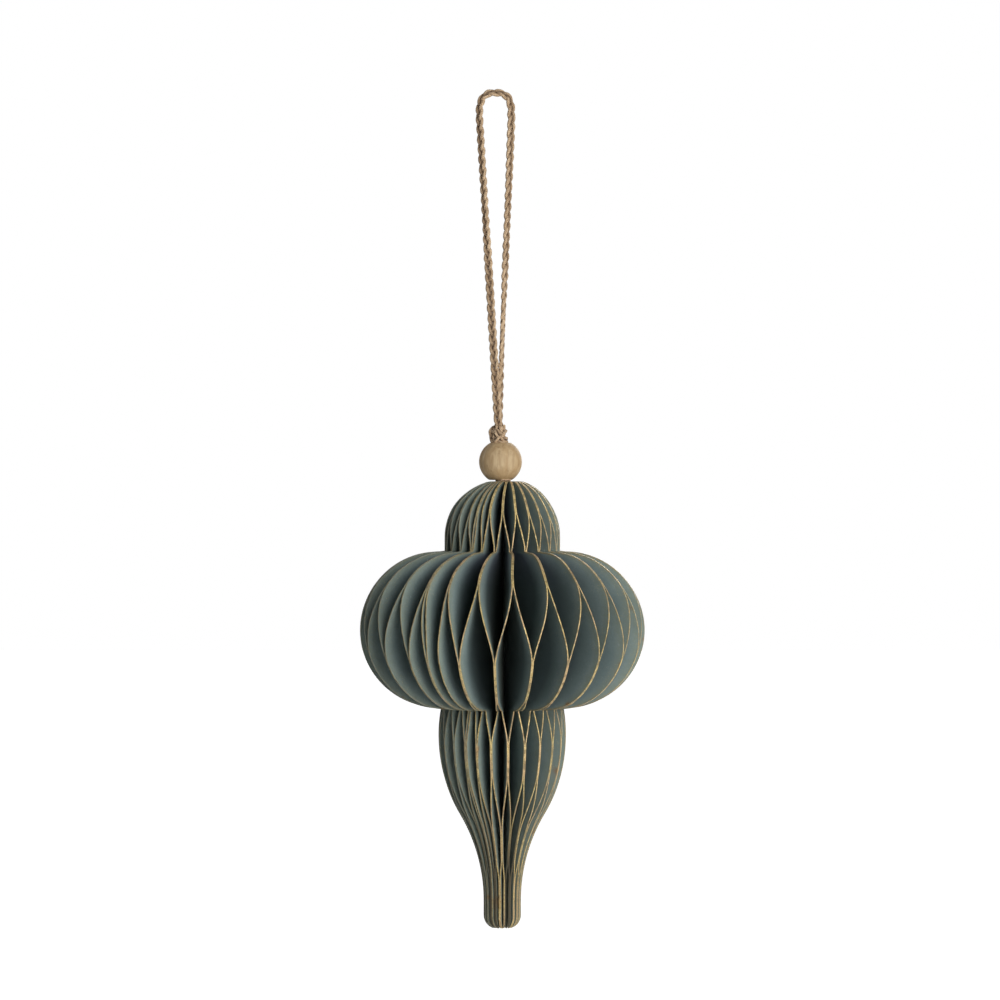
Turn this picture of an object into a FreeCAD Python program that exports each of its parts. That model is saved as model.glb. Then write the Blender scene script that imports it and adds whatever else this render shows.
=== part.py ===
"""Hanging honeycomb-paper ornament: 49 bent paper leaves round a spine, a wooden bead and a cord loop.

Millimetres, +Z up. The origin is the inside of the loop's top, where the ornament hangs.
Azimuths are degrees round the spine from -Y towards +X; drops are measured down from the paper's top.
"""
import FreeCAD, Part
import math
import os
import Sketcher

SIZES = [
    ("paper_thickness", 0.35, "one leaf"),
    ("pair_count", 24, "pairs of leaves round the spine, besides the last leaf, which doubles its neighbour"),
    ("seam_azimuth", -29.2, "where the first and the last leaf meet"),
    ("seam_squeeze", 5.45, "how far the leaves either side crowd towards the seam, degrees"),
    ("seam_reach", 0.89, "how many pairs the crowding reaches over"),
    ("seam_gap", 5.0, "opening left between the first and last leaf at the odd glue bands, degrees"),
    ("last_leaf_bow", 1.5, "how far the last leaf bows off its twin between glue bands, degrees"),
    ("dome_twist", 3.5, "turn of the uppermost glue band, degrees"),
    ("fold_softness", 0.45, "0 for leaves that run straight from band to band, 1 for a full S"),
    ("lean", 1.9, "how far the spine hangs to the right of the loop's top"),
    ("dome_radius", 16.2, "dome at its foot"),
    ("dome_arc", 16.0, "radius of the dome's outline"),
    ("dome_arc_drop", 15.7, "drop of that outline's centre"),
    ("ledge_fall", 0.25, "fall of the ledges above and below the bulb"),
    ("bulb_radius", 39.8, "bulb at its widest"),
    ("bulb_arc", 22.0, "radius of the bulb's half-round outline"),
    ("bulb_drop", 41.4, "drop of the bulb's widest level"),
    ("belly_radius", 17.95, "lower body at its widest"),
    ("belly_arc", 42.5, "radius of the belly's outline"),
    ("belly_drop", 71.4, "drop of the belly's widest level"),
    ("neck_radius", 5.3, "straight neck at the lower end"),
    ("neck_length", 4.1, "its straight stretch; a hollow arc joins it to the belly"),
    ("foot_arc", 3.9, "rounding of the lower end"),
    ("foot_radius", 3.1, "leaf's width from the axis at its lowest point"),
    ("paper_height", 124.9, "leaf from top to bottom"),
    ("band_1_end", 10.4, "glue band 1, from the top, joins each leaf to the one before"),
    ("band_2_start", 20.2, "glue band 2 joins each leaf to the one after, and so on by turns"),
    ("band_2_end", 28.8, ""),
    ("band_3_start", 48.1, ""),
    ("band_3_end", 63.7, ""),
    ("band_4_start", 72.4, ""),
    ("band_4_end", 82.0, ""),
    ("band_5_start", 97.4, ""),
    ("band_5_end", 106.0, ""),
    ("band_6_start", 111.0, "glue band 6 runs to the lower end"),
    ("dome_facets", 4, "straight facets along the dome's arc"),
    ("bulb_facets", 10, "along the bulb"),
    ("belly_facets", 4, "along the belly"),
    ("hollow_facets", 3, "along the hollow"),
    ("foot_facets", 2, "along the foot"),
    ("bead_diameter", 12.0, "wooden bead"),
    ("bead_height", 10.2, "between its two flats"),
    ("bead_half_facets", 3, "along its round side, above and below the widest level"),
    ("bead_bore", 4.0, ""),
    ("bead_chamfer", 0.3, "at the mouths of its bore"),
    ("bead_offset", 1.4, "bead's axis to the right of the loop's top"),
    ("cord_diameter", 1.8, "braided cord"),
    ("cord_gap", 0.02, "between the two cords of the tail"),
    ("knot_drop", 92.3, "top of the knot below the inside of the loop's top"),
    ("knot_height", 4.9, ""),
    ("knot_radius", 2.6, "at its widest"),
    ("knot_top_radius", 2.1, ""),
    ("knot_base_radius", 2.3, ""),
    ("knot_offset", 1.0, "knot's axis to the right of the loop's top"),
    ("tail_length", 36.0, "cord below the knot, down to the stopper"),
    ("tail_offset", 1.5, "tail to the right of the loop's top"),
    ("stopper_height", 4.5, "end knot, stuck in the spine's hollow"),
    ("stopper_clearance", 0.05, "between the end knot and the leaves' inner edges"),
]

doc = FreeCAD.newDocument("paper_ornament")
sheet = doc.addObject("Spreadsheet::Sheet", "Sizes")
for row, (alias, value, meaning) in enumerate(SIZES, start=1):
    sheet.set(f"A{row}", alias)
    sheet.set(f"B{row}", str(value))
    sheet.set(f"C{row}", meaning)
    sheet.setAlias(f"B{row}", alias)
doc.recompute()


def size(alias):
    return float(sheet.get(alias))


def at(x, y, z):
    return FreeCAD.Placement(FreeCAD.Vector(x, y, z), FreeCAD.Rotation())


# Levels, all hung from the loop's top: knot on bead, bead on paper.
knot_base = -(size("knot_drop") + size("knot_height"))
bead_centre = knot_base - size("bead_height") / 2
paper_top = knot_base - size("bead_height")

# The leaves' inner edges stand side by side in a ring, one side of a regular polygon each.
pair_count = int(size("pair_count"))
leaf_count = 2 * pair_count + 1
side_turn = 360 / leaf_count
ring_corner_radius = size("paper_thickness") / (2 * math.sin(math.radians(side_turn / 2)))
ring_flat_radius = size("paper_thickness") / (2 * math.tan(math.radians(side_turn / 2)))


def arc_points(centre_radius, centre_drop, radius, start, end, parts):
    """Points (radius from the axis, drop) on an arc; its angles run from straight up, outwards."""
    points = []
    for step in range(parts + 1):
        angle = math.radians(start + (end - start) * step / parts)
        points.append((centre_radius + radius * math.sin(angle), centre_drop - radius * math.cos(angle)))
    return points


def dome_outline():
    arc, drop = size("dome_arc"), size("dome_arc_drop")
    start = math.degrees(math.acos(drop / arc))
    points = arc_points(size("dome_radius") - arc, drop, arc, start, 90, int(size("dome_facets")))
    skirt_end = size("bulb_drop") - size("bulb_arc") - size("ledge_fall")
    return points + [(size("dome_radius"), skirt_end)]


def bulb_outline():
    arc = size("bulb_arc")
    return arc_points(size("bulb_radius") - arc, size("bulb_drop"), arc, 0, 180, int(size("bulb_facets")))


def lower_outline():
    """Belly arc, a hollow arc tangent to it and to the straight neck, and the rounded foot."""
    belly, neck, foot = size("belly_arc"), size("neck_radius"), size("foot_arc")
    belly_axis, foot_axis = size("belly_radius") - belly, neck - foot
    foot_drop = size("paper_height") - math.sqrt(foot**2 - (size("foot_radius") - foot_axis) ** 2)
    neck_drop = foot_drop - size("neck_length")
    fall, inset = neck_drop - size("belly_drop"), neck - belly_axis
    hollow = (inset**2 + fall**2 - belly**2) / (2 * (belly - inset))
    start_drop = size("bulb_drop") + size("bulb_arc") + size("ledge_fall")
    start = math.degrees(math.acos((size("belly_drop") - start_drop) / belly))
    turn = 90 + math.degrees(math.asin(fall / (belly + hollow)))
    foot_end = 180 - math.degrees(math.asin((size("foot_radius") - foot_axis) / foot))
    points = arc_points(belly_axis, size("belly_drop"), belly, start, turn, int(size("belly_facets")))
    points += arc_points(neck + hollow, neck_drop, hollow, turn - 180, -90, int(size("hollow_facets")))[1:]
    return points + arc_points(foot_axis, foot_drop, foot, 90, foot_end, int(size("foot_facets")))


BANDS = [
    (0.0, size("band_1_end")),
    (size("band_2_start"), size("band_2_end")),
    (size("band_3_start"), size("band_3_end")),
    (size("band_4_start"), size("band_4_end")),
    (size("band_5_start"), size("band_5_end")),
    (size("band_6_start"), size("paper_height")),
]


def blend(drop):
    """(how far the leaves have swung to the odd bands' pairing, 0 to 1; how far into the dome's twist)."""
    for number, (start, end) in enumerate(BANDS, start=1):
        odd = number % 2
        if drop <= end and drop >= start:
            return float(odd), float(number == 1)
        if drop < start:
            above = BANDS[number - 2][1]
            part = (drop - above) / (start - above)
            soft = size("fold_softness")
            eased = (1 - soft) * part + soft * part * part * (3 - 2 * part)
            return (eased if odd else 1 - eased), (1 - eased if number == 2 else 0.0)
    return 0.0, 0.0


def pair_azimuth(pairs):
    """Azimuth this many pairs past the seam. The pairs stand closer together near the seam."""
    squeeze, reach = size("seam_squeeze"), size("seam_reach")
    pitch = (360 + 2 * squeeze) / pair_count
    crowding = math.tanh(pairs / reach) + 1 + math.tanh((pairs - pair_count) / reach)
    return size("seam_azimuth") + pitch * pairs - squeeze * crowding


def leaf_azimuth(leaf, drop):
    """Direction of a leaf at a level: even bands join leaves 0-1, 2-3 ..., odd bands 1-2, 3-4 ..."""
    twin = min(leaf, 2 * pair_count - 1)
    even = pair_azimuth(twin // 2 + 0.5)
    odd = pair_azimuth((twin + 1) // 2)
    if twin == 0:
        odd += size("seam_gap") / 2
    if twin == 2 * pair_count - 1:
        odd -= size("seam_gap") / 2
    swung, in_dome = blend(drop)
    bow = size("last_leaf_bow") * 4 * swung * (1 - swung) if leaf > twin else 0.0
    return (1 - swung) * even + swung * odd + bow + size("dome_twist") * in_dome


def direction(azimuth):
    angle = math.radians(azimuth)
    return FreeCAD.Vector(math.sin(angle), -math.cos(angle), 0)


def ring_corner(number):
    return direction(size("seam_azimuth") + side_turn * (number + 0.5)) * ring_corner_radius


def reach_out(corner, heading, radius):
    """The point at this radius from the axis, straight out from a corner of the ring."""
    along = corner.dot(heading)
    return corner + heading * (math.sqrt(along**2 + radius**2 - corner.dot(corner)) - along)


def leaf_shape(leaf, outline):
    """A sheet between two corners of the ring, flat along its glue bands and bent from band to band."""
    low, high = ring_corner(leaf), ring_corner(leaf + 1)
    azimuths = [leaf_azimuth(leaf, drop) for _, drop in outline]
    levels = []
    for azimuth, (radius, drop) in zip(azimuths, outline):
        heading = direction(azimuth)
        corners = [low, reach_out(low, heading, radius), reach_out(high, heading, radius), high]
        levels.append([FreeCAD.Vector(p.x, p.y, -drop) for p in corners])
    flats = [[0]]
    for step in range(1, len(levels)):
        if azimuths[step] == azimuths[step - 1]:
            flats[-1].append(step)
        else:
            flats.append([step])

    facets = [levels[0], levels[-1][::-1]]
    for flat in flats:
        first, last = levels[flat[0]], levels[flat[-1]]
        if first is not last:
            facets.append([first[0], last[0]] + [levels[step][1] for step in reversed(flat)])
            facets.append([levels[step][2] for step in flat] + [last[3], first[3]])
    for above, below in zip(flats, flats[1:]):
        upper, lower = levels[above[-1]], levels[below[0]]
        facets += [[upper[0], lower[0], lower[1]], [upper[0], lower[1], upper[1]]]
        facets += [[upper[2], lower[2], upper[3]], [lower[2], lower[3], upper[3]]]
    for upper, lower in zip(levels, levels[1:]):
        facets += [[upper[1], lower[1], lower[2]], [upper[1], lower[2], upper[2]]]
    inner = [levels[step] for flat in flats for step in sorted({flat[0], flat[-1]})]
    facets.append([level[3] for level in inner] + [level[0] for level in reversed(inner)])
    faces = [Part.Face(Part.makePolygon(facet + facet[:1])) for facet in facets]
    return Part.makeSolid(Part.makeShell(faces))


outline = dome_outline() + bulb_outline() + lower_outline()
parts = []
for leaf in range(leaf_count):
    sheet_of_paper = doc.addObject("Part::Feature", f"leaf_{leaf + 1:02d}")
    sheet_of_paper.Shape = leaf_shape(leaf, outline)
    sheet_of_paper.Placement = at(size("lean"), 0, paper_top)
    parts.append(sheet_of_paper)


def body_plane(body, role):
    return next(plane for plane in body.Origin.OriginFeatures if plane.Role == role)


def section_sketch(body, name):
    sketch = body.newObject("Sketcher::SketchObject", name)
    sketch.AttachmentSupport = (body_plane(body, "XZ_Plane"), "")
    sketch.MapMode = "FlatFace"
    return sketch


def bind(sketch, constraint, name, formula):
    number = sketch.addConstraint(constraint)
    sketch.renameConstraint(number, name)
    sketch.setExpression(f"Constraints.{name}", formula)


def revolve(body, sketch, name):
    turned = body.newObject("PartDesign::Revolution", name)
    turned.Profile = sketch
    turned.ReferenceAxis = (sketch, ["V_Axis"])
    turned.Angle = 360
    body.Tip = turned
    return turned


def make_bead():
    """A ball with two flats and a bore, turned in one piece; its round side is a row of short facets."""
    body = doc.addObject("PartDesign::Body", "wooden_bead")
    sketch = section_sketch(body, "bead_section")
    ball, half, bore = size("bead_diameter") / 2, size("bead_height") / 2, size("bead_bore") / 2
    rim, steps = math.asin(half / ball), 2 * int(size("bead_half_facets"))
    corners = [(bore, half)]
    for step in range(steps + 1):
        angle = rim * (1 - 2 * step / steps)
        corners.append((ball * math.cos(angle), ball * math.sin(angle)))
    corners.append((bore, -half))
    points = [FreeCAD.Vector(x, y, 0) for x, y in corners]
    sides = len(points)
    for start, end in zip(points, points[1:] + points[:1]):
        sketch.addGeometry(Part.LineSegment(start, end), False)
    for side in range(sides):
        sketch.addConstraint(Sketcher.Constraint("Coincident", side, 2, (side + 1) % sides, 1))
    sketch.addConstraint(Sketcher.Constraint("Horizontal", 0))
    sketch.addConstraint(Sketcher.Constraint("Horizontal", sides - 2))
    sketch.addConstraint(Sketcher.Constraint("Vertical", sides - 1))
    bind(sketch, Sketcher.Constraint("DistanceX", -1, 1, 0, 1, bore), "bore", "Sizes.bead_bore / 2")
    rim_formula = "asin(Sizes.bead_height / Sizes.bead_diameter)"
    for step in range(steps + 1):
        share = abs(1 - 2 * step / steps)
        corner, (x, y) = step + 1, corners[step + 1]
        across = Sketcher.Constraint("DistanceX", -1, 1, corner, 1, x)
        bind(sketch, across, f"across_{step}", f"Sizes.bead_diameter / 2 * cos({share} * {rim_formula})")
        if step * 2 == steps:
            sketch.addConstraint(Sketcher.Constraint("PointOnObject", corner, 1, -1))
            continue
        ends = (-1, 1, corner, 1) if y > 0 else (corner, 1, -1, 1)
        level = Sketcher.Constraint("DistanceY", *ends, abs(y))
        bind(sketch, level, f"level_{step}", f"Sizes.bead_diameter / 2 * sin({share} * {rim_formula})")
    doc.recompute()
    turned = revolve(body, sketch, "bead_turned")
    doc.recompute()
    mouths = [
        f"Edge{number}"
        for number, edge in enumerate(turned.Shape.Edges, start=1)
        if isinstance(edge.Curve, Part.Circle) and abs(edge.Curve.Radius - bore) < bore / 100
    ]
    softened = body.newObject("PartDesign::Chamfer", "bead_mouths")
    softened.Base = (turned, mouths)
    softened.setExpression("Size", "Sizes.bead_chamfer")
    body.Tip = softened
    body.Placement = at(size("bead_offset"), 0, bead_centre)
    return body


def make_knot():
    """The lump of the tied cord: flat where the cords enter and where it sits on the bead."""
    lower = doc.addObject("Part::Cone", "knot_lower")
    lower.setExpression("Radius1", "Sizes.knot_base_radius")
    lower.setExpression("Radius2", "Sizes.knot_radius")
    lower.Placement = at(size("knot_offset"), 0, knot_base)
    upper = doc.addObject("Part::Cone", "knot_upper")
    upper.setExpression("Radius1", "Sizes.knot_radius")
    upper.setExpression("Radius2", "Sizes.knot_top_radius")
    upper.Placement = at(size("knot_offset"), 0, knot_base + size("knot_height") / 2)
    for half in (lower, upper):
        half.setExpression("Height", "Sizes.knot_height / 2")
    knot = doc.addObject("Part::MultiFuse", "cord_knot")
    knot.Shapes = [lower, upper]
    return knot


def make_tail():
    """The two cords below the knot, through the bead and down the spine, to the end knot stuck there."""
    pieces = []
    spread = (size("cord_diameter") + size("cord_gap")) / 2
    for name, y in [("tail_front", -spread), ("tail_back", spread)]:
        cord = doc.addObject("Part::Cylinder", name)
        cord.setExpression("Radius", "Sizes.cord_diameter / 2")
        cord.setExpression("Height", "Sizes.tail_length")
        cord.Placement = at(size("tail_offset"), y, knot_base - size("tail_length"))
        pieces.append(cord)
    stopper = doc.addObject("Part::Cylinder", "tail_stopper")
    stopper.Radius = ring_flat_radius - size("stopper_clearance")
    stopper.setExpression("Height", "Sizes.stopper_height")
    stopper.Placement = at(size("lean"), 0, knot_base - size("tail_length") - size("stopper_height") / 2)
    tail = doc.addObject("Part::MultiFuse", "cord_tail")
    tail.Shapes = pieces + [stopper]
    return tail


# The loop's centreline: up the left leg, round the hook at the top and down the right leg.
# The weight draws both legs straight; at the knot one lies in front of the other.
LOOP_ROUTE = [
    (0.75, -0.93, -92.24),
    (-4.7, 0.0, -1.9),
    (-1.95, 0.0, 0.9),
    (1.95, 0.0, 0.9),
    (4.7, 0.0, -1.9),
    (0.95, 0.93, -92.24),
]
ARC_SHARE = 0.45


def rounded_path(route):
    """Straight runs joined by tangent arcs, each as large as its two runs allow."""
    points = [FreeCAD.Vector(*point) for point in route]
    edges, last, radii = [], points[0], []
    for before, corner, after in zip(points, points[1:], points[2:]):
        inward, outward = (before - corner).normalize(), (after - corner).normalize()
        half_turn = (math.pi - inward.getAngle(outward)) / 2
        cut = ARC_SHARE * min((before - corner).Length, (after - corner).Length)
        radius = cut / math.tan(half_turn)
        middle = (inward + outward).normalize()
        bulge = corner + middle * (radius / math.cos(half_turn) - radius)
        start, end = corner + inward * cut, corner + outward * cut
        edges += [Part.LineSegment(last, start).toShape(), Part.Arc(start, bulge, end).toShape()]
        last = end
        radii.append(radius)
    edges.append(Part.LineSegment(last, points[-1]).toShape())
    return Part.Wire(edges), radii


def make_loop():
    path, radii = rounded_path(LOOP_ROUTE)
    start = path.Edges[0].Vertexes[0].Point
    heading = path.Edges[0].tangentAt(path.Edges[0].FirstParameter)
    section = Part.Wire(Part.makeCircle(size("cord_diameter") / 2, start, heading))
    loop = doc.addObject("Part::Feature", "hanging_cord")
    loop.Shape = path.makePipeShell([section], True, False)
    true_volume = math.pi * (size("cord_diameter") / 2) ** 2 * path.Length
    print("cord loop length", round(path.Length, 2))
    print("cord loop bend radii", [round(radius, 1) for radius in radii])
    print("cord loop volume against section by length", round(loop.Shape.Volume / true_volume, 4))
    return loop


parts += [make_bead(), make_knot(), make_tail(), make_loop()]
doc.recompute()
for item in doc.Objects:
    if "Invalid" in item.State or "Error" in item.State:
        raise RuntimeError(f"{item.Label}: {item.State}")
os.makedirs("parts", exist_ok=True)
for part in parts:
    if part.Shape.isNull() or not part.Shape.isValid():
        raise RuntimeError(f"{part.Label} has no valid shape")
    part.Shape.exportStep(f"parts/{part.Label}.step")
print("wrote", len(parts), "parts")
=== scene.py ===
"""Looks of the hanging honeycomb-paper ornament: gilt-edged leaves, a wooden bead and braided cord.

Sizes are in millimetres until a mesh is made. Azimuths are degrees round the spine from -Y towards +X,
and drops are measured down from the paper's top.
"""

import math
import random

import bpy
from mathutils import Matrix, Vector


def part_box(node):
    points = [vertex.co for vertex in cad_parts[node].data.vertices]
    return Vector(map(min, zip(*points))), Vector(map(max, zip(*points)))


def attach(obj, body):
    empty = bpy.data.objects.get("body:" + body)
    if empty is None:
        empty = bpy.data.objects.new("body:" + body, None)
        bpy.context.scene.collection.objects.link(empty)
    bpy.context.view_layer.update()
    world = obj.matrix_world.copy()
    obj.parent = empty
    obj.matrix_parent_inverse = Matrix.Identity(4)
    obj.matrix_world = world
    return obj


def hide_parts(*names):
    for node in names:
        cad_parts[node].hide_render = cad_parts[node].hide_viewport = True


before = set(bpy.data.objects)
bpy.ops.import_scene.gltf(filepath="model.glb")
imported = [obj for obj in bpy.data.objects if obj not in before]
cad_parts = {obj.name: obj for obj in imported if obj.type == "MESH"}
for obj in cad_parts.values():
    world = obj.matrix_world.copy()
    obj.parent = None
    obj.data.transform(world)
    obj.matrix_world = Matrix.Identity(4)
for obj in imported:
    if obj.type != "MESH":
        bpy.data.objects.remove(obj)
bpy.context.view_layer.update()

MM = 0.001
LEAVES = 49
PAIRS = 24
PAPER_THICKNESS = 0.35
LEAN = 1.9

# Where things are, read from the frame.
leaf_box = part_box("leaf_01")
PAPER_TOP = leaf_box[1].z / MM
PAPER_HEIGHT = (leaf_box[1].z - leaf_box[0].z) / MM
bead_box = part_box("wooden_bead")
knot_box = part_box("cord_knot")
tail_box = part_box("cord_tail")


# Camera

CAMERA_DISTANCE = 923
CAMERA_X, CAMERA_Z = 1.26, -113.0
LENS = 119


def make_camera():
    data = bpy.data.cameras.new("camera")
    data.lens = LENS
    camera = bpy.data.objects.new("camera", data)
    bpy.context.scene.collection.objects.link(camera)
    camera.location = Vector((CAMERA_X, -CAMERA_DISTANCE, CAMERA_Z)) * MM
    camera.rotation_euler = (math.radians(90), 0, 0)
    bpy.context.scene.camera = camera


# Materials

# Drops between which the painted shade towards the neck sets in, and between which the navy tint of the
# painted shade deep in the folds ends.
NECK_SHADE_START, NECK_SHADE_FULL = 78, 106
DOME_SHADE_START, DOME_SHADE_END = 15, 30


class Nodes:
    """A node tree, with short ways to add and join its nodes."""

    def __init__(self, tree):
        self.tree = tree

    def node(self, kind, settings=None, **inputs):
        made = self.tree.nodes.new(kind)
        for key, value in (settings or {}).items():
            setattr(made, key, value)
        for key, value in inputs.items():
            self.feed(made.inputs[key.replace("_", " ")], value)
        return made

    def feed(self, socket, value):
        if isinstance(value, bpy.types.NodeSocket):
            self.tree.links.new(value, socket)
        else:
            socket.default_value = value

    def place(self):
        return self.node("ShaderNodeTexCoord").outputs["Object"]

    def attribute(self, name, output="Fac"):
        return self.node("ShaderNodeAttribute", {"attribute_name": name}).outputs[output]

    def stretched(self, vector, scale):
        return self.node("ShaderNodeMapping", Vector=vector, Scale=scale).outputs["Vector"]

    def noise(self, vector, scale, detail, roughness=0.55, distortion=0.0):
        made = self.node(
            "ShaderNodeTexNoise", Vector=vector, Scale=scale, Detail=detail, Roughness=roughness,
            Distortion=distortion,
        )
        return made.outputs["Fac"]

    def cells(self, vector, scale):
        return self.node("ShaderNodeTexVoronoi", Vector=vector, Scale=scale).outputs["Distance"]

    def span(self, value, low, high, to_low=0.0, to_high=1.0):
        """The value's stretch from low to high, mapped and clamped."""
        made = self.node("ShaderNodeMapRange", Value=value)
        for key, number in [("From Min", low), ("From Max", high), ("To Min", to_low), ("To Max", to_high)]:
            made.inputs[key].default_value = number
        return made.outputs["Result"]

    def math(self, operation, first, second):
        made = self.node("ShaderNodeMath", {"operation": operation})
        self.feed(made.inputs[0], first)
        self.feed(made.inputs[1], second)
        return made.outputs["Value"]

    def mix(self, share, first, second):
        """A mix of two colours; a mix node's own colour sockets are the seventh and eighth."""
        made = self.node("ShaderNodeMix", {"data_type": "RGBA"})
        self.feed(made.inputs["Factor"], share)
        self.feed(made.inputs[6], first)
        self.feed(made.inputs[7], second)
        return made.outputs[2]

    def seen_itself(self):
        """1 for the rays that show a surface to the eye: straight, in a gloss or through glass."""
        rays = self.node("ShaderNodeLightPath").outputs
        seen = self.math("MAXIMUM", rays["Is Camera Ray"], rays["Is Glossy Ray"])
        return self.math("MAXIMUM", seen, rays["Is Transmission Ray"])


class Shader(Nodes):
    """A material and its principled surface."""

    def __init__(self, name):
        self.material = bpy.data.materials.new(name)
        self.material.use_nodes = True
        super().__init__(self.material.node_tree)
        self.surface = self.tree.nodes["Principled BSDF"]

    def set(self, **inputs):
        for key, value in inputs.items():
            self.feed(self.surface.inputs[key.replace("_", " ")], value)

    def bump(self, height, strength, distance_mm):
        made = self.node("ShaderNodeBump", Height=height, Strength=strength, Distance=distance_mm * MM)
        self.set(Normal=made.outputs["Normal"])


def colour(red, green, blue):
    """A linear colour from the usual 0 to 255 values."""
    def linear(value):
        share = value / 255
        return share / 12.92 if share <= 0.04045 else ((share + 0.055) / 1.055) ** 2.4
    return (linear(red), linear(green), linear(blue), 1.0)


def per_mm(count):
    """A texture's scale, in features a millimetre."""
    return count / MM


def between_drops(shader, place, start, full):
    """0 above the first drop, 1 below the second, and even between them."""
    height = shader.node("ShaderNodeSeparateXYZ", Vector=place).outputs["Z"]
    return shader.span(height, (PAPER_TOP - start) * MM, (PAPER_TOP - full) * MM)


def neck_painted_shade(shader, place, most):
    """Painted shade towards the neck, by a share that differs from leaf to leaf."""
    of_leaf = shader.span(shader.attribute("neck_shade_share"), 0.1, 0.3, 0.3 * most, most)
    towards_neck = between_drops(shader, place, NECK_SHADE_START, NECK_SHADE_FULL)
    return shader.math("MULTIPLY", towards_neck, of_leaf)


def paper_material():
    """Grey teal paper with gold dust and a little glue, and painted shade: darker deep in the folds, navy in
    the dome's, darker towards the neck, and less gilt bleed on the leaves at the left.
    """
    shader = Shader("teal_paper")
    place = shader.place()
    inwards = shader.attribute("rim")
    clouds = shader.span(shader.noise(place, per_mm(0.09), 3), 0.35, 0.65)
    pulp = shader.span(shader.noise(place, per_mm(1.3), 5, 0.7), 0.3, 0.7)
    tone = shader.mix(clouds, colour(118, 133, 132), colour(131, 146, 144))
    tone = shader.mix(shader.math("MULTIPLY", pulp, 0.35), tone, colour(98, 116, 116))
    fibres = shader.cells(shader.stretched(place, (1.0, 1.0, 0.35)), per_mm(0.45))
    tone = shader.mix(shader.span(fibres, 0.04, 0.08, 0.4, 0.0), tone, colour(172, 184, 178))
    # Painted shade deep in the folds: the paper darkens from 2 mm inside the cut, navy in the dome and dark
    # teal below it.
    below_dome = between_drops(shader, place, DOME_SHADE_START, DOME_SHADE_END)
    painted_fold_shade = shader.mix(below_dome, colour(74, 72, 100), colour(72, 85, 88))
    tone = shader.mix(shader.span(inwards, 2.0, 10.0, 0.0, 0.8), tone, painted_fold_shade)
    near_gilt = shader.span(inwards, 0.1, 3.2, 0.55, 0.0)
    olive = shader.math("MULTIPLY", shader.span(pulp, 0.2, 0.9, 0.35, 0.9), near_gilt)
    tone = shader.mix(olive, tone, colour(140, 142, 112))
    glue = shader.span(shader.noise(place, per_mm(0.11), 2), 0.66, 0.72, 0.0, 0.7)
    near_cut = shader.span(inwards, 0.3, 1.9, 1.0, 0.0)
    tone = shader.mix(shader.math("MULTIPLY", glue, near_cut), tone, colour(140, 98, 52))
    dust_spots = shader.span(shader.cells(place, per_mm(2.1)), 0.12, 0.18, 1.0, 0.0)
    dust_patches = shader.span(shader.noise(place, per_mm(0.2), 2), 0.45, 0.62, 0.15, 1.0)
    dusted = shader.math("MULTIPLY", dust_patches, shader.span(inwards, 0.2, 6.0, 1.0, 0.06))
    dust = shader.math("MULTIPLY", dust_spots, dusted)
    tone = shader.mix(dust, tone, colour(206, 192, 142))
    smear = shader.span(shader.noise(place, per_mm(2.4), 3, 0.7), 0.4, 0.65)
    bled = shader.math("MULTIPLY", smear, shader.span(inwards, 0.05, 0.35, 0.8, 0.0))
    # Painted shade: less gilt bleed shows on the leaves at the left.
    unshaded_bleed_share = shader.span(shader.attribute("left_shade"), 0.0, 1.0, 1.0, 0.25)
    tone = shader.mix(shader.math("MULTIPLY", bled, unshaded_bleed_share), tone, colour(166, 138, 84))
    # Painted shade towards the neck.
    tone = shader.mix(neck_painted_shade(shader, place, 0.6), tone, colour(62, 58, 46))
    shader.set(Base_Color=tone, Metallic=shader.math("MULTIPLY", dust, 0.7))
    shader.set(Roughness=0.7, Specular_IOR_Level=0.08)
    shader.set(Sheen_Weight=0.07, Sheen_Roughness=0.45, Sheen_Tint=colour(205, 205, 180))
    grain = shader.noise(place, per_mm(2.6), 6, 0.75)
    shader.bump(shader.math("ADD", grain, dust), 0.35, 0.06)
    return shader.material


def gilt_material():
    """Gold leaf on the cut edge: yellow and copper flakes, rubbed off in patches, with painted shade that
    dulls it on the leaves at the left and darkens it towards the neck.
    """
    shader = Shader("gilt_edge")
    place = shader.place()
    flakes = shader.noise(place, per_mm(2.2), 3, 0.7)
    copper = shader.span(shader.noise(place, per_mm(0.12), 3), 0.42, 0.6)
    gold = shader.mix(shader.span(flakes, 0.35, 0.65), colour(234, 212, 144), colour(172, 138, 78))
    gold = shader.mix(shader.math("MULTIPLY", copper, 0.6), gold, colour(200, 164, 130))
    rubbed = shader.span(shader.noise(place, per_mm(0.55), 4), 0.46, 0.62)
    # Patches where the gilt is rubbed off, with painted shade towards the neck.
    rubbed_and_neck_shade = shader.math("MAXIMUM", shader.math("MULTIPLY", rubbed, 0.55), neck_painted_shade(shader, place, 1.0))
    # Painted shade: the gilt is dulled on the leaves at the left.
    left_shade = shader.math("MULTIPLY", shader.attribute("left_shade"), shader.span(flakes, 0.35, 0.75, 0.85, 0.5))
    tone = shader.mix(left_shade, gold, colour(116, 114, 92))
    tone = shader.mix(rubbed_and_neck_shade, tone, colour(70, 62, 48))
    shader.set(Base_Color=tone, Metallic=shader.span(rubbed_and_neck_shade, 0.0, 0.8, 0.16, 0.0))
    shader.set(Roughness=shader.span(flakes, 0.3, 0.7, 0.38, 0.6), Specular_IOR_Level=0.1)
    shader.bump(shader.noise(place, per_mm(5.5), 3, 0.8), 0.7, 0.06)
    return shader.material


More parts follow.
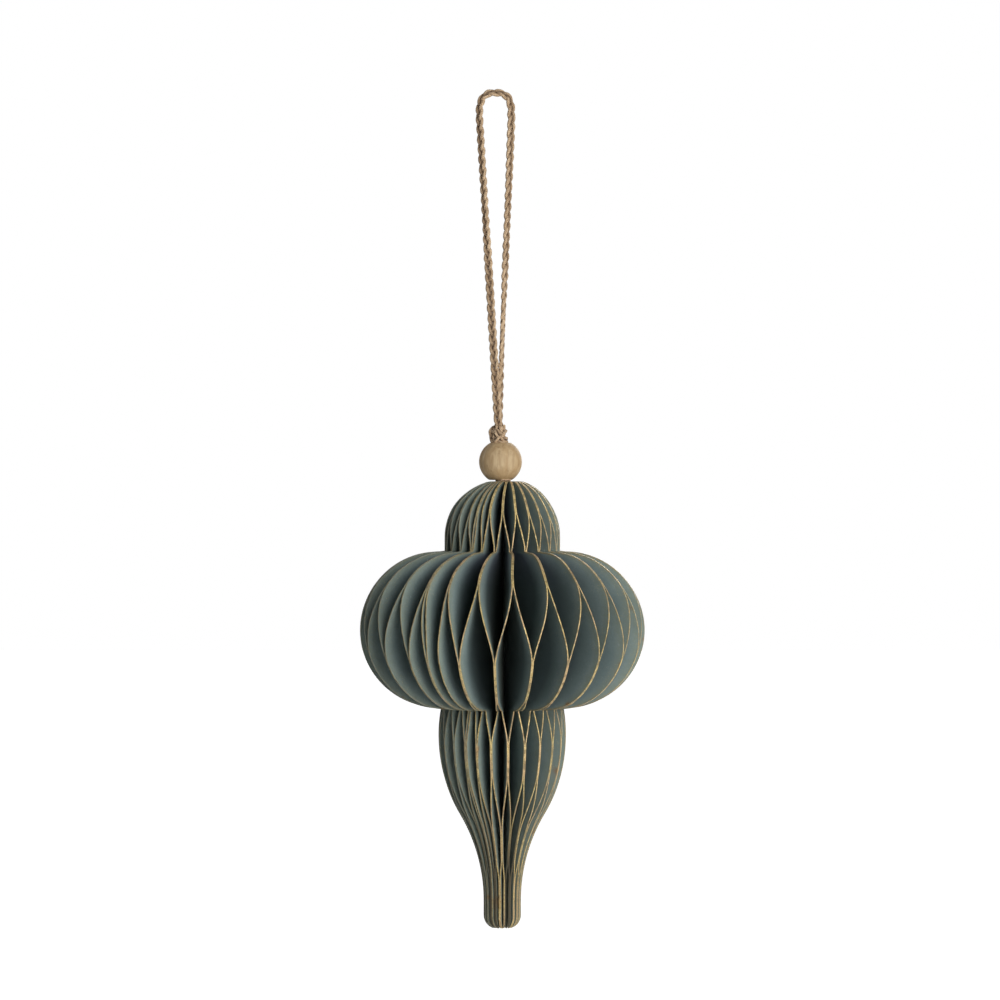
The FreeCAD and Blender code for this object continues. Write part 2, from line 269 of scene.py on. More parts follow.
def bead_material():
    """Unfinished pale wood with upright grain, short dark pores and a darker patch."""
    shader = Shader("bead_wood")
    place = shader.place()
    along = shader.stretched(place, (1.0, 1.0, 0.14))
    grain = shader.noise(along, per_mm(1.1), 6, 0.65, 0.5)
    bands = shader.noise(along, per_mm(0.3), 2, 0.5, 0.8)
    patches = shader.noise(place, per_mm(0.12), 2)
    tone = shader.mix(shader.span(grain, 0.32, 0.68), colour(160, 133, 98), colour(196, 174, 138))
    tone = shader.mix(shader.span(bands, 0.45, 0.62, 0.0, 0.5), tone, colour(168, 138, 96))
    tone = shader.mix(shader.span(patches, 0.48, 0.7, 0.0, 0.45), tone, colour(158, 128, 90))
    short = shader.stretched(place, (1.0, 1.0, 0.35))
    pores = shader.span(shader.cells(short, per_mm(0.95)), 0.07, 0.17, 0.8, 0.0)
    pore_patches = shader.span(shader.noise(place, per_mm(0.35), 2), 0.42, 0.58)
    pore_mask = shader.math("MULTIPLY", pores, pore_patches)
    tone = shader.mix(pore_mask, tone, colour(104, 72, 42))
    shader.set(Base_Color=tone, Roughness=0.66, Specular_IOR_Level=0.3)
    height = shader.math("SUBTRACT", shader.math("MULTIPLY", grain, 0.6), pore_mask)
    shader.bump(height, 0.6, 0.09)
    return shader.material


def jute_material():
    """Twisted bast fibre: tan on the crowns of the strands, with painted shade brown in the gaps between
    them.
    """
    shader = Shader("jute")
    fibre = shader.attribute("fibre", "Vector")
    streaks = shader.noise(fibre, 2.6, 5, 0.75)
    place = shader.place()
    patches = shader.noise(place, per_mm(0.16), 3)
    tone = shader.mix(shader.span(streaks, 0.36, 0.64), colour(144, 114, 84), colour(226, 200, 165))
    tone = shader.mix(shader.span(patches, 0.42, 0.62, 0.0, 0.4), tone, colour(146, 118, 88))
    # Painted shade in the gaps between strands, near the braid's middle.
    gap_shade = shader.span(shader.attribute("depth"), 0.42, 0.9, 0.85, 0.0)
    tone = shader.mix(gap_shade, tone, colour(74, 50, 30))
    shader.set(Base_Color=tone, Roughness=0.8, Specular_IOR_Level=0.25)
    shader.set(Sheen_Weight=0.15, Sheen_Roughness=0.5)
    shader.bump(streaks, 0.9, 0.16)
    return shader.material


# Pieces


def make_piece(name, points, faces, materials, nodes, sharp_degrees):
    """A mesh of points in millimetres that rides on the ornament and stands for its CAD nodes."""
    mesh = bpy.data.meshes.new(name)
    mesh.from_pydata([Vector(point) * MM for point in points], [], faces)
    for material in materials:
        mesh.materials.append(material)
    mesh.shade_smooth()
    mesh.set_sharp_from_angle(angle=math.radians(sharp_degrees))
    piece = bpy.data.objects.new(name, mesh)
    bpy.context.scene.collection.objects.link(piece)
    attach(piece, "root")
    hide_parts(*nodes)
    return piece


def set_floats(mesh, name, values):
    mesh.attributes.new(name, "FLOAT", "POINT").data.foreach_set("value", values)


# Leaves: their outline, as in the CAD but round


def arc_points(centre_radius, centre_drop, radius, start, end, parts):
    """Points (radius from the axis, drop) on an arc; its angles run from straight up, outwards."""
    points = []
    for step in range(parts + 1):
        angle = math.radians(start + (end - start) * step / parts)
        points.append((centre_radius + radius * math.sin(angle), centre_drop - radius * math.cos(angle)))
    return points


DOME_RADIUS, DOME_ARC, DOME_ARC_DROP = 16.2, 16.0, 15.7
LEDGE_FALL = 0.25
BULB_RADIUS, BULB_ARC, BULB_DROP = 39.8, 21.7, 41.7
BELLY_RADIUS, BELLY_ARC, BELLY_DROP = 17.95, 42.5, 71.4
NECK_RADIUS, NECK_LENGTH = 5.3, 4.1
FOOT_RADIUS, FOOT_ARC = 3.1, 3.9
SKIRT_PARTS, DOME_PARTS, BULB_PARTS, BELLY_PARTS = 3, 20, 72, 22
HOLLOW_PARTS, NECK_PARTS, FOOT_PARTS = 20, 3, 6


def straight(start, end, parts):
    """Points after the start on a straight stretch, up to its end."""
    share = [step / parts for step in range(1, parts + 1)]
    return [(start[0] + (end[0] - start[0]) * t, start[1] + (end[1] - start[1]) * t) for t in share]


def leaf_outline():
    dome_start = math.degrees(math.acos(DOME_ARC_DROP / DOME_ARC))
    points = arc_points(DOME_RADIUS - DOME_ARC, DOME_ARC_DROP, DOME_ARC, dome_start, 90, DOME_PARTS)
    skirt_end = (DOME_RADIUS, BULB_DROP - BULB_ARC - LEDGE_FALL)
    points += straight(points[-1], skirt_end, SKIRT_PARTS)
    points += arc_points(BULB_RADIUS - BULB_ARC, BULB_DROP, BULB_ARC, 0, 180, BULB_PARTS)
    belly_axis, foot_axis = BELLY_RADIUS - BELLY_ARC, NECK_RADIUS - FOOT_ARC
    foot_drop = PAPER_HEIGHT - math.sqrt(FOOT_ARC**2 - (FOOT_RADIUS - foot_axis) ** 2)
    neck_drop = foot_drop - NECK_LENGTH
    fall, inset = neck_drop - BELLY_DROP, NECK_RADIUS - belly_axis
    hollow = (inset**2 + fall**2 - BELLY_ARC**2) / (2 * (BELLY_ARC - inset))
    belly_start = math.degrees(math.acos((BELLY_DROP - (BULB_DROP + BULB_ARC + LEDGE_FALL)) / BELLY_ARC))
    turn = 90 + math.degrees(math.asin(fall / (BELLY_ARC + hollow)))
    points += arc_points(belly_axis, BELLY_DROP, BELLY_ARC, belly_start, turn, BELLY_PARTS)
    points += arc_points(NECK_RADIUS + hollow, neck_drop, hollow, turn - 180, -90, HOLLOW_PARTS)[1:]
    points += straight(points[-1], (NECK_RADIUS, foot_drop), NECK_PARTS)
    foot_end = 180 - math.degrees(math.asin((FOOT_RADIUS - foot_axis) / FOOT_ARC))
    return points + arc_points(foot_axis, foot_drop, FOOT_ARC, 90, foot_end, FOOT_PARTS)[1:]


# Leaves: their directions, as in the CAD but less even

# The pairs are a little crowded on both sides of the seam, where the first and the last leaf stand apart.
SEAM_AZIMUTH, SEAM_SQUEEZE, SEAM_REACH, SEAM_GAP = -29.2, 5.45, 0.89, 5.0
LAST_LEAF_BOW, FOLD_SOFTNESS = 1.5, 0.45
# Drops of the glue bands. The ends of a band are uneven by up to the spread, in millimetres, and a leaf
# bows between bands by up to the sway, in degrees.
BANDS = [(0.0, 9.1), (20.2, 28.7), (49.2, 60.3), (72.6, 82.0), (97.6, 106.0), (111.0, PAPER_HEIGHT)]
FOLD_SPREAD, SWAY = 0.4, 0.45
# The twist at the dome's top, its swing from side to side, and the twist at the ledge, in degrees.
DOME_TWIST, DOME_TWIST_SWING, LEDGE_TWIST = 2.9, 4.0, 4.0
LEDGE_DROP, TWIST_END_DROP = 19.2, 28.7

FOLD_SEED, CUT_SEED = 11, 7
uneven = random.Random(FOLD_SEED)
FOLD_SHIFTS = [[(uneven.uniform(-1, 1), uneven.uniform(-1, 1)) for _ in range(PAIRS + 1)] for _ in BANDS]
SWAYS = [[uneven.uniform(-1, 1) for _ in BANDS] for _ in range(LEAVES)]


def own_bands(leaf):
    """The levels where this leaf's glue bands start and end: both leaves of a pair share them."""
    twin = min(leaf, 2 * PAIRS - 1)
    bands = []
    for number, (start, end) in enumerate(BANDS, start=1):
        pair = (twin + 1) // 2 if number % 2 else twin // 2
        start_shift, end_shift = FOLD_SHIFTS[number - 1][pair]
        start += FOLD_SPREAD * start_shift if number > 1 else 0.0
        end += FOLD_SPREAD * end_shift if number < len(BANDS) else 0.0
        bands.append((start, end))
    return bands


LEAF_BANDS = [own_bands(leaf) for leaf in range(LEAVES)]


def blend(leaf, drop):
    """(how far the leaf has swung to the odd bands' pairing, 0 to 1; how much it is free to bow, -1 to 1)."""
    bands = LEAF_BANDS[leaf]
    for number, (start, end) in enumerate(bands, start=1):
        odd = number % 2
        if start <= drop <= end:
            return float(odd), 0.0
        if drop < start:
            above = bands[number - 2][1]
            part = (drop - above) / (start - above)
            eased = (1 - FOLD_SOFTNESS) * part + FOLD_SOFTNESS * part * part * (3 - 2 * part)
            free = SWAYS[leaf][number - 1] * math.sin(math.pi * part) ** 2
            return (eased if odd else 1 - eased), free
    return 0.0, 0.0


def twist(azimuth, drop):
    """The dome leans round by a few degrees, evenly at its foot and less to the right at its top."""
    top = DOME_TWIST - DOME_TWIST_SWING * math.sin(math.radians(azimuth))
    top_end = BANDS[0][1]
    if drop <= top_end:
        return top
    if drop <= LEDGE_DROP:
        return top + (LEDGE_TWIST - top) * (drop - top_end) / (LEDGE_DROP - top_end)
    return LEDGE_TWIST * max(1 - (drop - LEDGE_DROP) / (TWIST_END_DROP - LEDGE_DROP), 0.0) ** 3


def pair_azimuth(pairs):
    pitch = (360 + 2 * SEAM_SQUEEZE) / PAIRS
    crowding = math.tanh(pairs / SEAM_REACH) + 1 + math.tanh((pairs - PAIRS) / SEAM_REACH)
    return SEAM_AZIMUTH + pitch * pairs - SEAM_SQUEEZE * crowding


def leaf_azimuth(leaf, drop):
    twin = min(leaf, 2 * PAIRS - 1)
    even, odd = pair_azimuth(twin // 2 + 0.5), pair_azimuth((twin + 1) // 2)
    if twin == 0:
        odd += SEAM_GAP / 2
    if twin == 2 * PAIRS - 1:
        odd -= SEAM_GAP / 2
    swung, free = blend(leaf, drop)
    bow = LAST_LEAF_BOW * 4 * swung * (1 - swung) if leaf > twin else SWAY * free
    azimuth = (1 - swung) * even + swung * odd + bow
    return azimuth + twist(azimuth, drop)


def direction(azimuth):
    angle = math.radians(azimuth)
    return Vector((math.sin(angle), -math.cos(angle)))


SIDE_TURN = 360 / LEAVES
RING_CORNER_RADIUS = PAPER_THICKNESS / (2 * math.sin(math.radians(SIDE_TURN / 2)))


def ring_corner(number):
    return direction(SEAM_AZIMUTH + SIDE_TURN * (number + 0.5)) * RING_CORNER_RADIUS


def reach_out(corner, heading, radius):
    """The point at this radius from the axis, straight out from a corner of the ring."""
    along = corner.dot(heading)
    return corner + heading * (math.sqrt(max(along**2 + radius**2 - corner.dot(corner), 0.0)) - along)


# Leaves: their sheets

# A face's columns of points, as shares of its width, then the line up to which the gilt bleeds, and the cut.
SIDE_COLUMNS = [0.0, 0.5, 0.85]
BLEED_WIDTH, EDGE_ROUNDING, GILT_START = 0.3, 0.05, 0.15
TOP_TRIM, RING_CLEARANCE = 0.4, 0.02
# The dome's crown leans to the right.
CROWN_SHIFT, CROWN_DEPTH = 1.1, 9.0
# How much less than the outline a leaf may be cut, and how much shorter it may end.
CUT_SPREAD, FOOT_SPREAD, LOW_FOOT_SHARE = 0.12, 0.5, 0.3
SAME_DROP = 1e-6
# Painted shade: the gilt is dulled on the leaves at the left, and the painted shade at the neck is weaker on
# the leaves at the right.
LEFT_SHADE_START, LEFT_SHADE_SPAN = 0.3, 0.4
RIGHT_START, RIGHT_NECK_SHADE = 0.45, 0.15


def with_levels(outline, levels):
    """The outline with a point at each of these drops."""
    points = list(outline)
    for level in levels:
        for step, (upper, lower) in enumerate(zip(points, points[1:])):
            if upper[1] + SAME_DROP < level < lower[1] - SAME_DROP:
                share = (level - upper[1]) / (lower[1] - upper[1])
                points.insert(step + 1, (upper[0] + share * (lower[0] - upper[0]), level))
                break
    return points


def inset_outline(outline, depth):
    """The outline moved inwards, square to itself."""
    moved = []
    for step, (radius, drop) in enumerate(outline):
        before, after = outline[max(step - 1, 0)], outline[min(step + 1, len(outline) - 1)]
        along = Vector((after[0] - before[0], after[1] - before[1])).normalized()
        moved.append((radius - along.y * depth, min(max(drop + along.x * depth, TOP_TRIM), PAPER_HEIGHT)))
    return moved


OUTLINE = leaf_outline()
RING_RADIUS = RING_CORNER_RADIUS + RING_CLEARANCE


def leaf_place(leaf, radius, drop, side):
    """A point on one face of a leaf, or between its faces: side 0 is the first face and 1 the other."""
    heading = direction(leaf_azimuth(leaf, drop))
    first = reach_out(ring_corner(leaf), heading, radius)
    other = reach_out(ring_corner(leaf + 1), heading, radius)
    spot = first.lerp(other, side)
    crown_shift = CROWN_SHIFT * max(1 - drop / CROWN_DEPTH, 0.0) ** 2
    return (spot.x + LEAN + crown_shift, spot.y, PAPER_TOP - drop)


def make_leaf(leaf, materials, chance):
    """One sheet: two faces of paper and a gilt cut edge, cut and ended a little differently from the next."""
    cut = chance.uniform(0, CUT_SPREAD)
    foot = chance.uniform(0, FOOT_SPREAD) * (1 if leaf % 2 else LOW_FOOT_SHARE)
    outline = with_levels(OUTLINE, [level for band in LEAF_BANDS[leaf] for level in band])
    trim = [(radius - cut, min(max(drop, TOP_TRIM), PAPER_HEIGHT - foot)) for radius, drop in outline]
    rounded, bled = inset_outline(trim, EDGE_ROUNDING), inset_outline(trim, BLEED_WIDTH + EDGE_ROUNDING)
    points, rims, rows = [], [], []
    for (radius, drop), (edge_radius, edge_drop), (bled_radius, bled_drop) in zip(trim, rounded, bled):
        faces_of_row = []
        for side in (0, 1):
            face = [
                (RING_RADIUS + (bled_radius - RING_RADIUS) * t, drop + (bled_drop - drop) * t, side)
                for t in SIDE_COLUMNS + [1.0]
            ]
            face.append((edge_radius, edge_drop, side))
            face.append((radius, drop, GILT_START + (1 - 2 * GILT_START) * side))
            faces_of_row += face if side == 0 else face[::-1]
        rows.append(len(points))
        for at_radius, at_drop, side in faces_of_row:
            points.append(leaf_place(leaf, max(at_radius, RING_RADIUS), at_drop, side))
            rims.append(max(radius - at_radius, 0.0))
    width = len(points) // len(rows)
    cut_column = width // 2 - 1
    faces, gilded = [], []
    for upper, lower in zip(rows, rows[1:]):
        for column in range(width):
            after = (column + 1) % width
            faces.append((upper + column, upper + after, lower + after, lower + column))
            gilded.append(column == cut_column)
    faces.append(tuple(rows[0] + column for column in reversed(range(width))))
    faces.append(tuple(rows[-1] + column for column in range(width)))
    gilded += [False, True]
    number = f"{leaf + 1:02d}"
    nodes = [f"leaf_{number}"]
    piece = make_piece(
        f"gilt_leaf_{number}", points, faces, materials, nodes, sharp_degrees=30,
    )
    piece.data.polygons.foreach_set("material_index", [int(flag) for flag in gilded])
    set_floats(piece.data, "rim", rims)
    rightward = math.sin(math.radians(leaf_azimuth(leaf, BULB_DROP)))
    # The share of painted shade towards the neck, small on the leaves at the right.
    neck_shade_share = chance.random() * (RIGHT_NECK_SHADE if rightward > RIGHT_START else 1.0)
    # Painted shade on the gilt of the leaves at the left.
    left_shade = min(max((-rightward - LEFT_SHADE_START) / LEFT_SHADE_SPAN, 0.0), 1.0)
    set_floats(piece.data, "neck_shade_share", [neck_shade_share] * len(points))
    set_floats(piece.data, "left_shade", [left_shade] * len(points))


# Bead

BORE_RADIUS, MOUTH_SOFTNESS, MOUTH_BEND = 2.0, 0.35, 0.3
CROWN_RISE = 0.22
# The round stops a little before the flats' rims, which are thereby broken.
RIM_SHARE, FLAT_INSET = 0.985, 0.9
BEAD_TURNS, BEAD_PARTS = 96, 40


def make_bead(material):
    """A turned ball with flats and a bore whose mouths are softened."""
    middle = (bead_box[0] + bead_box[1]) / 2 / MM
    ball = (bead_box[1].x - bead_box[0].x) / 2 / MM
    half = (bead_box[1].z - bead_box[0].z) / 2 / MM
    soft, bend = MOUTH_SOFTNESS, MOUTH_SOFTNESS * MOUTH_BEND
    flat = math.sqrt(ball**2 - half**2)
    low_rim = math.asin(half / ball) * RIM_SHARE
    top_rim = math.asin((half + CROWN_RISE) / ball) * RIM_SHARE
    mouth = [(BORE_RADIUS, half - soft), (BORE_RADIUS + bend, half - bend), (BORE_RADIUS + soft, half)]
    profile = [(radius, height + CROWN_RISE) for radius, height in mouth]
    for step in range(BEAD_PARTS + 1):
        angle = top_rim - (top_rim + low_rim) * step / BEAD_PARTS
        profile.append((ball * math.cos(angle), ball * math.sin(angle)))
    profile.append((flat - soft * FLAT_INSET, -half))
    profile += [(radius, -height) for radius, height in reversed(mouth)]
    points, faces = [], []
    for turn in range(BEAD_TURNS):
        angle = 2 * math.pi * turn / BEAD_TURNS
        out = Vector((math.cos(angle), math.sin(angle), 0))
        for radius, height in profile:
            points.append(middle + out * radius + Vector((0, 0, height)))
    rows = len(profile)
    for turn in range(BEAD_TURNS):
        this, after = turn * rows, (turn + 1) % BEAD_TURNS * rows
        for row in range(rows):
            below = (row + 1) % rows
            faces.append((this + row, this + below, after + below, after + row))
    nodes = ["wooden_bead"]
    make_piece("turned_bead", points, faces, [material], nodes, sharp_degrees=50)


# Cord

CORD_DIAMETER = 1.8
STRANDS = 3
BRAID_WIDTH, BRAID_DEPTH, STRAND_RADIUS, BRAID_PERIOD = 0.72, 0.23, 0.5, 8.4
STRAND_SIDES, STRAND_STEP = 10, 0.3
# A strand's swells: (share of its radius, radians a millimetre, radians from strand to strand).
SWELLS = [(0.06, 2.1, 1.7), (0.04, 5.3, 0.0)]
# The fibres' turn round a strand, their pace along it, and how far the strands' patterns lie apart.
FIBRE_TURN, FIBRE_PACE, STRAND_OFFSET = 0.9, 0.22, 7
# The painted shade in the gaps between strands fades out at this distance from the braid's middle.
CORE_REACH = 1.05

# The loop's route: the points of the CAD's tube, with one more on each leg and a rounder turn at the hook.
LOOP_ROUTE = [
    (0.00075, -0.00093, -0.09224),
    (-0.00405, -0.00011, -0.0127),
    (-0.00475, 0.0, -0.0026),
    (-0.0027, 0.0, 0.0007),
    (0.0020, 0.0, 0.0008),
    (0.0046, 0.0, -0.0016),
    (0.00425, 0.00011, -0.0127),
    (0.00105, 0.00088, -0.0865),
    (0.0013, 0.00093, -0.09224),
]


def smooth_line(route):
    """Points on a NURBS spline whose control points are the route's."""
    curve = bpy.data.curves.new("route", "CURVE")
    curve.dimensions = "3D"
    spline = curve.splines.new("NURBS")
    spline.points.add(len(route) - 1)
    for point, place in zip(spline.points, route):
        point.co = (*place, 1.0)
    spline.order_u = 3
    spline.use_endpoint_u = True
    spline.resolution_u = 48
    carrier = bpy.data.objects.new("route", curve)
    bpy.context.scene.collection.objects.link(carrier)
    line = bpy.data.meshes.new_from_object(carrier)
    points = [vertex.co.copy() for vertex in line.vertices]
    bpy.data.objects.remove(carrier)
    bpy.data.curves.remove(curve)
    bpy.data.meshes.remove(line)
    return points


def even_steps(line, step):
    """(point, distance along) at even steps along a line of points, both ends kept."""
    lengths = [0.0]
    for before, after in zip(line, line[1:]):
        lengths.append(lengths[-1] + (after - before).length)
    count = max(int(round(lengths[-1] / step)), 2)
    found, piece = [], 0
    for number in range(count + 1):
        target = lengths[-1] * number / count
        while piece < len(line) - 2 and lengths[piece + 1] < target:
            piece += 1
        share = (target - lengths[piece]) / (lengths[piece + 1] - lengths[piece])
        found.append((line[piece].lerp(line[piece + 1], share), target))
    return found


def carried_frames(points, first_side):
    """(along, side, up) at each point, turned no more than the line turns."""
    frames, side = [], first_side
    for number, point in enumerate(points):
        before, after = points[max(number - 1, 0)], points[min(number + 1, len(points) - 1)]
        along = (after - before).normalized()
        side = (side - along * side.dot(along)).normalized()
        frames.append((along, side, along.cross(side)))
    return frames


def braid(line, first_side, turn_at, size=1.0, start_phase=0.0):
    """Three strands plaited along a line in millimetres: points, faces, fibre directions and depths."""
    stations = even_steps(line, STRAND_STEP * size)
    spine = [point for point, _ in stations]
    frames = carried_frames(spine, first_side)
    points, faces, fibres, depths = [], [], [], []
    for strand in range(STRANDS):
        centres = []
        for (centre, distance), (_, side, up) in zip(stations, frames):
            turn = turn_at(distance)
            broad = side * math.cos(turn) + up * math.sin(turn)
            thin = up * math.cos(turn) - side * math.sin(turn)
            phase = start_phase + 2 * math.pi * (distance / (BRAID_PERIOD * size) + strand / STRANDS)
            shift = broad * BRAID_WIDTH * math.sin(phase) + thin * BRAID_DEPTH * math.sin(2 * phase)
            centres.append(centre + shift * size)
        strand_frames = carried_frames(centres, first_side)
        start = len(points)
        for number, (centre, (along, side, up)) in enumerate(zip(centres, strand_frames)):
            distance = stations[number][1]
            swell = 1 + sum(share * math.sin(distance * pace + strand * lag) for share, pace, lag in SWELLS)
            for corner in range(STRAND_SIDES):
                angle = 2 * math.pi * corner / STRAND_SIDES
                out = side * math.cos(angle) + up * math.sin(angle)
                spot = centre + out * STRAND_RADIUS * size * swell
                points.append(spot)
                turned = angle + distance * FIBRE_TURN
                fibres += [math.cos(turned) + strand * STRAND_OFFSET, math.sin(turned), distance * FIBRE_PACE]
                depths.append(min((spot - spine[number]).length / (CORE_REACH * size), 1.0))
        for number in range(len(centres) - 1):
            for corner in range(STRAND_SIDES):
                after = (corner + 1) % STRAND_SIDES
                this, below = start + number * STRAND_SIDES, start + (number + 1) * STRAND_SIDES
                faces.append((this + corner, this + after, below + after, below + corner))
        last = start + (len(centres) - 1) * STRAND_SIDES
        faces.append(tuple(start + corner for corner in reversed(range(STRAND_SIDES))))
        faces.append(tuple(last + corner for corner in range(STRAND_SIDES)))
    return points, faces, fibres, depths


def make_braided(name, plaits, material, node):
    """One piece from one or more plaits."""
    points, faces, fibres, depths = [], [], [], []
    for more_points, more_faces, more_fibres, more_depths in plaits:
        start = len(points)
        points += more_points
        faces += [tuple(start + corner for corner in face) for face in more_faces]
        fibres += more_fibres
        depths += more_depths
    piece = make_piece(name, points, faces, [material], [node], sharp_degrees=80)
    piece.data.attributes.new("fibre", "FLOAT_VECTOR", "POINT").data.foreach_set("vector", fibres)
    set_floats(piece.data, "depth", depths)
    return piece


# How far the flat braid has turned round itself: (millimetres along the loop, degrees).
LOOP_TURNS = [
    (0, 78), (12, 88), (38, 90), (58, 52), (78, 44), (98, 66), (125, 48), (146, 30), (160, 8), (193, 16),
]
WOBBLE, WOBBLE_PACE = 7, 5.5


def loop_turn(distance):
    for (start, before), (end, after) in zip(LOOP_TURNS, LOOP_TURNS[1:]):
        if distance <= end:
            part = (distance - start) / (end - start)
            break
    eased = part * part * (3 - 2 * part)
    return math.radians(before + (after - before) * eased + WOBBLE * math.sin(distance / WOBBLE_PACE))


def make_loop(material):
    route_line = smooth_line(LOOP_ROUTE)
    line = [point / MM for point in route_line]
    plait = braid(line, Vector((0, 1, 0)), loop_turn)
    loop = make_braided("braided_loop", [plait], material, "hanging_cord")


# Knot and tail. The knot's routes start from the middle of its underside, and each has its plait's size.

# The two ends that come down from the loop, the middle, the left lobe, the strands that cross in front,
# and the lowest turn.
KNOT_PLAITS = [
    (0.95, [(0.05, -0.93, 4.9), (-0.1, -1.1, 3.6), (0.2, -0.8, 2.0)]),
    (0.95, [(0.6, 0.93, 4.9), (0.85, 0.2, 3.8), (0.6, -0.4, 2.2)]),
    (1.25, [(0.2, 0.3, 4.2), (0.1, 0.1, 2.4), (0.1, 0.0, 0.8)]),
    (0.95, [(0.1, 0.4, 4.0), (-1.1, 0.3, 4.9), (-1.95, 0.0, 3.2), (-1.95, -0.4, 1.4), (-1.0, -1.2, 0.6)]),
    (0.8, [(-1.5, 1.2, 3.0), (-1.5, -0.7, 4.2), (0.3, -2.3, 2.0), (1.95, -1.4, 0.9), (2.0, 0.8, 0.9),
            (0.3, 2.0, 1.6), (-1.3, 1.3, 2.6)]),
    (0.8, [(1.0, 1.5, 2.6), (1.5, 0.4, 3.6), (1.3, -1.3, 3.0), (0.2, -1.9, 1.8), (-1.1, -1.8, 0.9),
            (-1.9, -0.2, 0.9), (-1.3, 1.5, 1.0), (0.8, 1.8, 1.4)]),
    (0.6, [(-1.6, 0.8, 0.5), (-1.5, -1.5, 0.5), (0.4, -2.2, 0.5), (1.9, -1.3, 0.5), (2.0, 0.9, 0.5),
           (0.2, 2.1, 0.5), (-1.8, 0.9, 0.5)]),
]
KNOT_TURN, KNOT_PHASE = 0.4, 1.3
# The end knot, from the middle of the tail's underside, and the two cords above it.
TAIL_KNOT_ROUTE = [
    (0.2, 0.5, 3.6), (1.3, 0.8, 3.5), (1.75, -0.5, 2.9), (0.3, -1.8, 2.1), (-1.5, -1.0, 1.1),
    (-1.4, 1.0, 0.9), (0.9, 1.5, 0.9), (1.85, -0.1, 0.95), (0.7, -1.45, 1.2), (-0.7, -1.4, 2.6),
    (-1.8, -0.3, 3.3), (-1.6, 0.9, 2.6), (-0.2, 0.5, 2.0),
]
TAIL_KNOT_CORD, TAIL_KNOT_TURN = 0.84, 0.5
TAIL_CORD, TAIL_SHIFT, TAIL_END, TAIL_TURN_PACE = 0.8, -0.4, 3.0, 0.03
# A turn of cord that is pressed between the bead and the paper, from the middle of the bead's underside.
SEAT_ROUTE = [(-1.2, -1.2, -0.2), (-0.8, -2.9, -0.2), (1.0, -3.3, -0.2), (2.9, -2.2, -0.2), (2.4, -0.6, -0.2)]
SEAT_CORD, SEAT_TURN = 0.42, 0.2


def placed_line(route, origin):
    """A smooth line in millimetres whose route is given from an origin."""
    return [point / MM + origin for point in smooth_line([Vector(place) * MM for place in route])]


def make_knot(material):
    low, high = knot_box[0] / MM, knot_box[1] / MM
    foot = Vector(((low.x + high.x) / 2, (low.y + high.y) / 2, low.z))
    side = Vector((1, 0.3, 0))
    plaits = []
    for number, (size, route) in enumerate(KNOT_PLAITS):
        line = placed_line(route, foot)
        plaits.append(braid(line, side, lambda distance: KNOT_TURN, size, number * KNOT_PHASE))
    make_braided("tied_knot", plaits, material, "cord_knot")


def make_tail(material):
    low, high = tail_box[0] / MM, tail_box[1] / MM
    middle = (low + high) / 2
    across, upwards = Vector((0, 1, 0)), Vector((0, 0, 1))
    plaits = []
    for side in (-1, 1):
        place = middle + Vector((TAIL_SHIFT, side * CORD_DIAMETER / 2, 0))
        line = [Vector((place.x, place.y, height)) for height in (high.z, low.z + TAIL_END)]
        plaits.append(braid(line, across, lambda distance: TAIL_TURN_PACE * distance, TAIL_CORD, side))
    line = placed_line(TAIL_KNOT_ROUTE, Vector((middle.x, middle.y, low.z)))
    plaits.append(braid(line, upwards, lambda distance: TAIL_KNOT_TURN, TAIL_KNOT_CORD))
    under_bead = (bead_box[0] + bead_box[1]) / 2 / MM
    under_bead.z = bead_box[0].z / MM
    line = placed_line(SEAT_ROUTE, under_bead)
    plaits.append(braid(line, upwards, lambda distance: SEAT_TURN, SEAT_CORD))
    make_braided("hidden_tail", plaits, material, "cord_tail")


# Light and surroundings

FLOOR_DEPTH, FLOOR_SIDE = 520, 16000
# The floor turns from the shadow's level to white between these distances from its middle.
SHADOW_REACH, WHITE_START, SHADOW_LEVEL = 600, 1800, 0.78
WORLD_LIGHT = 0.04
# (name, azimuth, elevation, distance, side, power, tint)
LAMPS = [
    ("key", 31, 11, 1400, 1000, 20.5, (1, 1, 1)),
    ("fill", -75, 35, 1600, 900, 2.8, (0.92, 0.93, 1.0)),
    ("back", 160, 18, 1500, 900, 14, (1, 1, 1)),
]


def make_area_light(name, azimuth, elevation, distance, side, power, tint):
    """A square lamp that points at the middle of the bulb. Its power is in watts."""
    data = bpy.data.lights.new(name, "AREA")
    data.size = side * MM
    data.energy = power
    data.color = tint
    lamp = bpy.data.objects.new(name, data)
    bpy.context.scene.collection.objects.link(lamp)
    flat = direction(azimuth) * math.cos(math.radians(elevation))
    out = Vector((flat.x, flat.y, math.sin(math.radians(elevation))))
    target = Vector((LEAN, 0, PAPER_TOP - BULB_DROP)) * MM
    lamp.location = target + out * distance * MM
    lamp.rotation_euler = (-out).to_track_quat("-Z", "Y").to_euler()


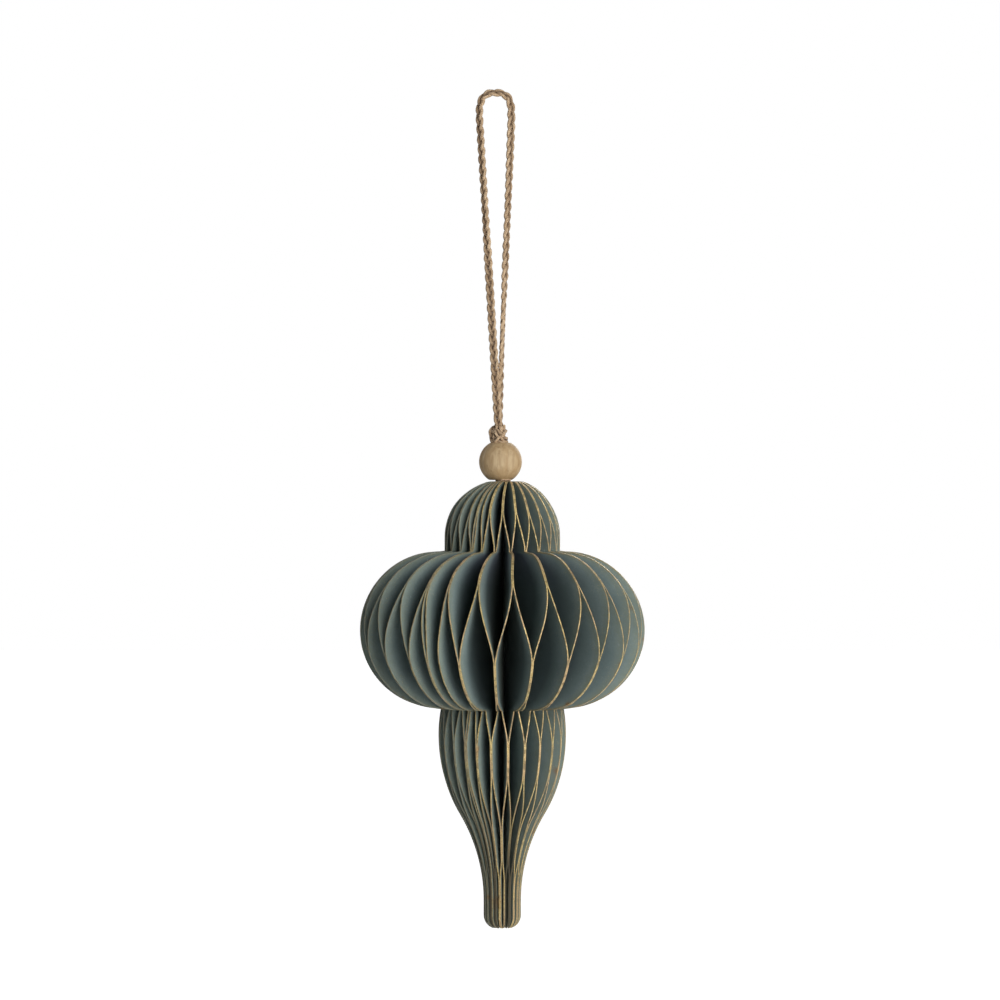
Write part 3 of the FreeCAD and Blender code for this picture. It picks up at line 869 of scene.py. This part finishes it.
def floor_material():
    """Pale where the ornament's shadow falls, and white to the camera further out."""
    shader = Shader("pale_floor")
    shader.set(Base_Color=colour(236, 236, 236), Roughness=0.9)
    measure = shader.node("ShaderNodeVectorMath", {"operation": "LENGTH"}, Vector=shader.place())
    away = measure.outputs["Value"]
    glow = shader.span(away, SHADOW_REACH * MM, WHITE_START * MM, SHADOW_LEVEL, 1.0)
    strength = shader.math("MULTIPLY", shader.seen_itself(), glow)
    white = shader.node("ShaderNodeEmission", Color=(1, 1, 1, 1), Strength=strength)
    both = shader.node("ShaderNodeAddShader")
    shader.feed(both.inputs[0], shader.surface.outputs["BSDF"])
    shader.feed(both.inputs[1], white.outputs["Emission"])
    shader.feed(shader.tree.nodes["Material Output"].inputs["Surface"], both.outputs["Shader"])
    return shader.material


def make_floor():
    half = FLOOR_SIDE / 2
    corners = [(-half, -half), (half, -half), (half, half), (-half, half)]
    mesh = bpy.data.meshes.new("floor")
    mesh.from_pydata([Vector((x, y, 0)) * MM for x, y in corners], [], [(0, 1, 2, 3)])
    mesh.materials.append(floor_material())
    floor = bpy.data.objects.new("floor", mesh)
    floor.location.z = -FLOOR_DEPTH * MM
    bpy.context.scene.collection.objects.link(floor)


def make_world():
    """A dim world that looks white."""
    world = bpy.data.worlds.new("studio")
    bpy.context.scene.world = world
    world.use_nodes = True
    nodes = Nodes(world.node_tree)
    background = nodes.tree.nodes["Background"]
    nodes.feed(background.inputs["Color"], (1, 1, 1, 1))
    strength = nodes.span(nodes.seen_itself(), 0.0, 1.0, WORLD_LIGHT, 1.0)
    nodes.feed(background.inputs["Strength"], strength)


make_camera()
jute = jute_material()
make_loop(jute)
make_knot(jute)
make_tail(jute)
leaf_materials = [paper_material(), gilt_material()]
chance = random.Random(CUT_SEED)
for leaf in range(LEAVES):
    make_leaf(leaf, leaf_materials, chance)
make_bead(bead_material())
for lamp in LAMPS:
    make_area_light(*lamp)
make_floor()
make_world()
bpy.context.scene.view_settings.view_transform = "Standard"
